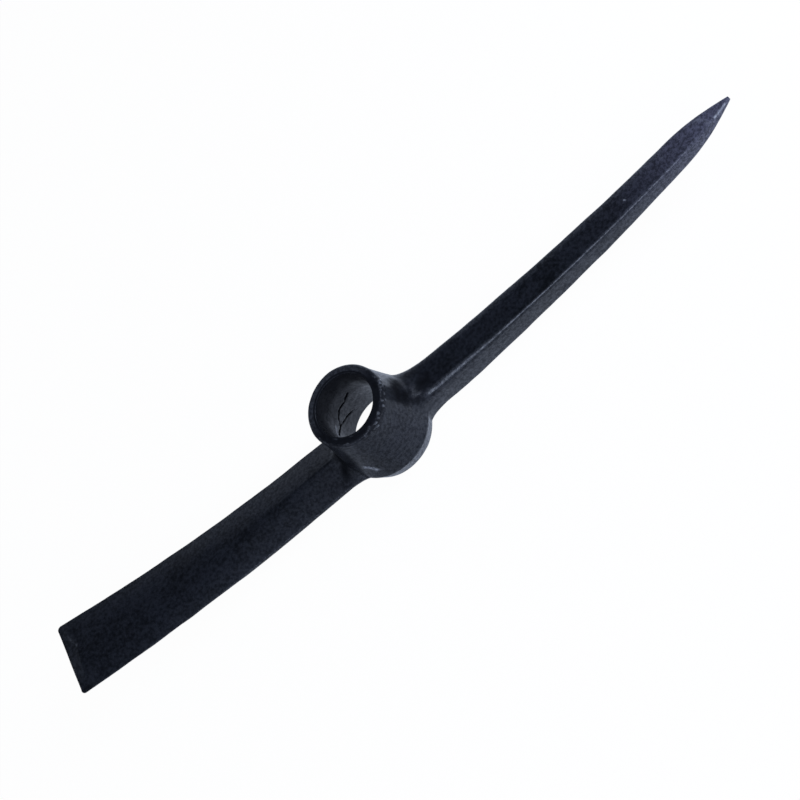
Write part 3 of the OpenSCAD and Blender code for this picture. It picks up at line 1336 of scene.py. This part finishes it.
@dataclass
class BladeArm(Arm):
    """The flat arm that is spread out to a cross-cutting edge.

    Attributes:
        end_w: Width of the cutting edge.
        root_w: Width at the eye.
        root_t: Thickness at the eye.
        neck_t: Thickness where the bit begins.
        sides: Heights of the long edges, over and under the middle line.
        undercuts: How far those draw in below, at the eye and at the bit.
        undercut_run: Distances from the axis between which that changes.
        bit_len: Length of the bit.
        bevel_lens: Lengths of the ground bevel: at the near corner, at its longest and at the far corner.
        bevel_peak: Where it is longest, from -1, near, to 1, far.
        edge_t: Thickness of the cutting edge.
        corner_round: Rounding of the bit's corners.
        spread_power: Power of the widening.
        roof_powers: Powers of the roof at the eye and where its ridge has faded.
        roof_fade: Distance from the axis at which it has.
        fillet_roof: Power of the roof on the fillet, and the swell from which it is so.
        edge_rounds: Rounding of the long edges at the eye and at the bit.
        edge_foot: Where a long edge ends, as shares of the undercut and of its height.
        near_spread: How much further the near edge spreads.
        near_run: Distances from the axis between which it does.
        roof_steps: Steps across the roof.
        edge_steps: Steps round a long edge.
        bit_steps: Steps along the bit: up to its bevel, up to its corners and round them.
        end_gap: Gap between the last section and the bit's end.
    """

    bow: Bow = Bow(Side.BLADE, mid_z=9.1, start=22.0, radius=876.0)
    fillet: Fillet = Fillet(top=(5.0, 8.0), far=(1.5, 6.0), near=(3.2, 10.0))
    names: tuple[str, str, str] = ("blade_root_fillet", "spread_blade_arm", "ground_blade_bit")
    nodes: tuple[str, str, str] = ("blade_root_weld", "blade_arm", "blade_bit")
    marks: tuple[Mark, ...] = (
        Mark(((-185.6, 22.0, 28.0),), 1.4, -0.3, bare_and_light=0.5),
        Mark(((-105.0, 19.5, 14.0),), 1.2, -0.3, bare_and_light=0.4),
        Mark(((-239.0, 22.0, 37.5), (-236.0, 14.1, 37.7), (-232.9, 5.7, 38.1)), 1.6, bare_and_light=0.07, wander=1.2),
        Mark(((-233.2, 6.2, 38.1), (-232.6, 4.6, 38.1)), 0.9, bare_and_light=0.25, wander=0.5),
    )
    wear: float = 0.12
    end_w: float = 49.0
    root_w: float = 37.0
    root_t: float = 17.6
    neck_t: float = 6.6
    sides: Point2 = (1.0, 1.6)
    undercuts: Point2 = (0.5, 2.0)
    undercut_run: Point2 = (105.0, 165.0)
    bit_len: float = 36.0
    bevel_lens: Point3 = (5.5, 8.5, 2.5)
    bevel_peak: float = 0.25
    edge_t: float = 1.4
    corner_round: float = 2.5
    spread_power: float = 1.37
    roof_powers: Point2 = (1.03, 2.0)
    roof_fade: float = 165.0
    fillet_roof: Point2 = (2.0, 8.0)
    edge_rounds: Point2 = (0.4, 0.15)
    edge_foot: Point2 = (0.4, 0.2)
    near_spread: float = 0.6
    near_run: Point2 = (70.0, 150.0)
    roof_steps: int = 44
    edge_steps: int = 4
    bit_steps: tuple[int, int, int] = (28, 14, 8)
    end_gap: float = 0.02

    @property
    def bit_x(self) -> float:
        """Distance of the bit's start from the eye's axis."""
        return self.reach - self.bit_len

    def end_stations(self) -> list[float]:
        """Sets out the sections of the bit.

        Returns:
            Their distances from the eye's axis.
        """
        bevel_x, corner_x = self.reach - max(self.bevel_lens), self.reach - self.corner_round
        turns, found = (self.bit_x, bevel_x, corner_x, self.reach - self.end_gap), [self.bit_x]
        for start, end, steps in zip(turns, turns[1:], self.bit_steps):
            found += spaced(start, end, steps)[1:]
        return found

    def half(self, reach: float) -> Point2:
        """Finds the size of a section.

        Args:
            reach: Its distance from the eye's axis.

        Returns:
            Half its width, and half its thickness along the middle.
        """
        spread = between(reach, self.eye.bore_r, self.reach) ** self.spread_power
        width = mix(self.root_w, self.end_w, spread) / 2.0
        into = self.corner_round - min(self.corner_round, self.reach - reach)
        width += math.sqrt(self.corner_round**2 - into**2) - self.corner_round
        return width, mix(self.root_t, self.neck_t, between(reach, self.eye.bore_r, self.bit_x)) / 2.0

    def section(self, reach: float, swell: Swell = PLAIN) -> list[Point2]:
        """Draws a roofed section of the arm.

        Args:
            reach: Its distance from the eye's axis.
            swell: How far it stands out from the plain arm.

        Returns:
            Its points, across and up, from the far edge over the crown and back below.
        """
        width, thick = self.half(reach)
        near = swell.near + self.near_spread * smooth(between(reach, *self.near_run))
        shift, width = (swell.far - near) / 2.0, width + (swell.far + near) / 2.0
        under = mix(*self.undercuts, smooth(between(reach, *self.undercut_run)))
        rise, drop = self.sides
        power = mix(*self.roof_powers, between(reach, self.eye.foot_r, self.roof_fade))
        crown, full = self.fillet_roof
        over = mix(power, crown, smooth(between(swell.above, 0.0, full)))
        above = self.roof(reach, (width, under), (thick + swell.above, rise + min(swell.above, 0.0)), over)
        below = self.roof(reach, (width - under, -under), (thick + swell.below, drop + swell.below), power)
        points = above + [(across, -up) for across, up in reversed(below)]
        return [(across + shift, up) for across, up in points]

    def bevel(self, share: float) -> float:
        """Finds the length of the ground bevel.

        Args:
            share: Place across, from -1 at the near edge to 1 at the far one.

        Returns:
            The length there.
        """
        near, most, far = self.bevel_lens
        if share < self.bevel_peak:
            return mix(near, most, between(share, -1.0, self.bevel_peak))
        return mix(most, far, between(share, self.bevel_peak, 1.0))

    def roof(self, reach: float, across: Point2, heights: Point2, power: float) -> list[Point2]:
        """Half a section: a crowned roof between two long edges.

        Args:
            reach: Distance from the eye's axis.
            across: Half the width, and how far the edges draw in over their whole thickness.
            heights: Heights of the crown and of the long edges.
            power: Power of the roof.

        Returns:
            Points across and up, from the far edge to the near one.
        """
        width, lean = across
        inwards, upwards = self.edge_foot

        def up(share: float) -> float:
            """Returns the height at a place across, from -1 to 1, with the bevel ground off."""
            plain = mix(*heights, abs(share) ** power)
            return mix(plain, self.edge_t / 2.0, between(reach, self.reach - self.bevel(share), self.reach))

        rounding = mix(*self.edge_rounds, between(reach, *self.undercut_run))
        inner = 1.0 - rounding / width
        top = [(width * inner * u, up(inner * u)) for u in spaced(1.0, -1.0, self.roof_steps)]
        edges = []
        for side, end in ((1.0, top[0]), (-1.0, top[-1])):
            corner = Vector((side * width, up(side)))
            foot = Vector((side * (width - inwards * lean), upwards * up(side)))
            bend = corner.lerp(foot, min(rounding / corner.y, 1.0))
            shares = [i / self.edge_steps for i in range(self.edge_steps)]
            edges.append([tuple(foot), *(self.eased(bend, corner, Vector(end), s) for s in shares)])
        return [*edges[0], *top, *reversed(edges[1])]

    @staticmethod
    def eased(start: Vector, corner: Vector, end: Vector, share: float) -> Point2:
        """Returns a point on the curve that rounds a corner."""
        return tuple(start.lerp(corner, share).lerp(corner.lerp(end, share), share))


# The studio


@dataclass(frozen=True)
class Lamp:
    """A soft square lamp that looks at the head.

    Attributes:
        name: Its name.
        place: Where it stands, in metres.
        size: Its side, in metres.
        watts: Its power.
    """

    name: str
    place: Point3
    size: float
    watts: float

    def hang(self, aim: Vector, tint: Colour) -> None:
        """Hangs the lamp.

        Args:
            aim: The place that it looks at.
            tint: Colour of its light.
        """
        light = bpy.data.lights.new(self.name, "AREA")
        light.size, light.energy, light.color = self.size, self.watts, tint
        hung = set_down(self.name, light)
        hung.location = self.place
        hung.rotation_euler = (aim - hung.location).to_track_quat("-Z", "Y").to_euler()


@dataclass
class Studio:
    """A white floor under soft light, seen by the camera of the photograph.

    Attributes:
        camera_place: Where the camera stands, in metres.
        camera_turn: How it is turned, in degrees round X, Y and Z.
        lens: Its focal length, in millimetres.
        sensor: Width of its sensor, in millimetres.
        floor_size: Side of the floor, in metres.
        floor_gap: Gap between the floor and the foot of the eye, in metres.
        floor_colour: Colour of the floor itself.
        floor_glow: Share of the floor that is plain white to the camera.
        floor_shines: Brightness of the floor that the head mirrors, past the blade and past the pick; its
            dimmer glow past the blade is a painted shadow in the head's reflections.
        shine_run: Places along X, in metres, between which that changes.
        washes: Light of the room: an axis, where a wash starts and ends on it, and its strengths there.
        tint: Colour of the light.
        lamps: The lamps.
        aim: The place that they look at, in metres.
    """

    camera_place: Point3 = (0.18429, -0.40604, 0.64300)
    camera_turn: Point3 = (19.9323, 29.4515, -31.6110)
    lens: float = 58.5
    sensor: float = 36.0
    floor_size: float = 12.0
    floor_gap: float = 0.0001
    floor_colour: Colour = (0.95, 0.95, 0.95)
    floor_glow: float = 0.97
    floor_shines: Point2 = (0.34, 0.86)
    shine_run: Point2 = (-0.05, 0.05)
    washes: tuple[tuple[str, float, float, float, float], ...] = (
        ("Y", -0.75, 0.35, 0.85, 0.10),
        ("X", -0.4, -0.75, 0.0, 0.3),
        ("Y", 0.62, 0.92, 0.0, 0.30),
    )
    tint: Colour = (0.72, 0.81, 1.0)
    lamps: tuple[Lamp, ...] = (
        Lamp("key_lamp", (0.78, 0.11, 0.62), size=0.6, watts=6.5),
        Lamp("front_lamp", (-0.04, -0.82, 0.54), size=0.4, watts=3.2),
    )
    aim: Point3 = (0.0, 0.0, 0.02)

    def set_up(self) -> None:
        """Places the camera, the floor, the sky and the lamps."""
        scene = bpy.context.scene
        scene.view_settings.view_transform = "Standard"
        lens = bpy.data.cameras.new("photo_camera")
        lens.lens, lens.sensor_width = self.lens, self.sensor
        camera = set_down("photo_camera", lens)
        camera.location = self.camera_place
        camera.rotation_euler = Euler([math.radians(a) for a in self.camera_turn])
        scene.camera = camera
        self.lay_floor()
        self.light_sky()
        for lamp in self.lamps:
            lamp.hang(Vector(self.aim), self.tint)

    def lay_floor(self) -> None:
        """Lays the white floor just under the foot of the eye, clear to a camera below it."""
        bm = bmesh.new()
        bmesh.ops.create_grid(bm, x_segments=1, y_segments=1, size=self.floor_size / 2.0)
        bmesh.ops.translate(bm, vec=(0.0, 0.0, -self.floor_gap), verts=bm.verts)
        mesh = bpy.data.meshes.new("floor")
        bm.to_mesh(mesh)
        bm.free()
        floor = set_down("floor", mesh)
        made = bpy.data.materials.new("white_floor")
        made.use_nodes = True
        bench = NodeBench(made.node_tree)
        seen = bench.put("ShaderNodeLightPath").outputs
        plain = bench.math("MAXIMUM", seen["Is Camera Ray"], seen["Is Transmission Ray"])
        place = bench.put("ShaderNodeTexCoord").outputs["Object"]
        across = bench.put("ShaderNodeSeparateXYZ", {0: place}).outputs["X"]
        # Painted shadow in what the head mirrors: the floor glows dimmer past the blade
        shine = bench.remap(across, *self.shine_run, *self.floor_shines)
        share = bench.math("MAXIMUM", bench.math("MULTIPLY", plain, self.floor_glow), seen["Is Glossy Ray"])
        colour = bench.blend(plain, self.tint, WHITE)
        matt = bench.put("ShaderNodeBsdfDiffuse", {"Color": (*self.floor_colour, 1.0)})
        strength = bench.math("MAXIMUM", plain, shine)
        glow = bench.put("ShaderNodeEmission", {"Color": colour, "Strength": strength})
        blend = bench.put("ShaderNodeMixShader", {0: share, 1: matt.outputs[0], 2: glow.outputs[0]})
        below = bench.put("ShaderNodeNewGeometry").outputs["Backfacing"]
        clear = bench.put("ShaderNodeBsdfTransparent")
        blend = bench.put("ShaderNodeMixShader", {0: below, 1: blend.outputs[0], 2: clear.outputs[0]})
        bench.put("ShaderNodeOutputMaterial", {"Surface": blend.outputs[0]})
        mesh.materials.append(made)

    def light_sky(self) -> None:
        """Lights the room, bright in front and dark behind, but plain white to the camera."""
        world = bpy.data.worlds.new("studio_sky")
        bpy.context.scene.world = world
        world.use_nodes = True
        bench = NodeBench(world.node_tree)
        way = bench.put("ShaderNodeTexCoord").outputs["Generated"]
        place = bench.put("ShaderNodeSeparateXYZ", {0: way}).outputs
        level = 0.0
        for axis, *wash in self.washes:
            level = bench.math("ADD", level, bench.remap(place[axis], *wash))
        seen = bench.put("ShaderNodeLightPath").outputs["Is Camera Ray"]
        colour = bench.blend(seen, self.tint, WHITE)
        level = bench.math("MAXIMUM", level, seen)
        sky = bench.put("ShaderNodeBackground", {"Color": colour, "Strength": level})
        bench.put("ShaderNodeOutputWorld", {"Surface": sky.outputs[0]})


def main() -> None:
    """Builds the head piece by piece in its studio."""
    logging.basicConfig(level=logging.INFO, format="%(message)s")
    noise.seed_set(SEED)
    Studio().set_up()
    dents = Dents()
    eye_paint = Paint("eye_coat", Slot.EYE, rubbed=0.25)
    arm_paint = Paint("arm_coat", Slot.ARM, rubbed=0.2)
    ground_paint = Paint("ground_end_coat", Slot.GROUND, rubbed=0.12, pitting=0.2, grinding=0.05)
    root_paint = Paint("root_coat", Slot.ROOT, rubbed=0.08)
    coats = (root_paint, arm_paint, ground_paint)

    eye_low, eye_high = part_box("eye_socket")
    eye = Eye(height=eye_high.z / MM, foot_r=(eye_high.x - eye_low.x) / (2.0 * MM))
    eye.build(eye_paint, dents)
    PickArm(eye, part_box("pick_point")[1].x / MM).build(coats, dents)
    bit_low, bit_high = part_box("blade_bit")
    blade_w = (bit_high.y - bit_low.y) / MM
    BladeArm(eye, -bit_low.x / MM + dents.coat, end_w=blade_w).build(coats, dents)


if __name__ == "__main__":
    main()
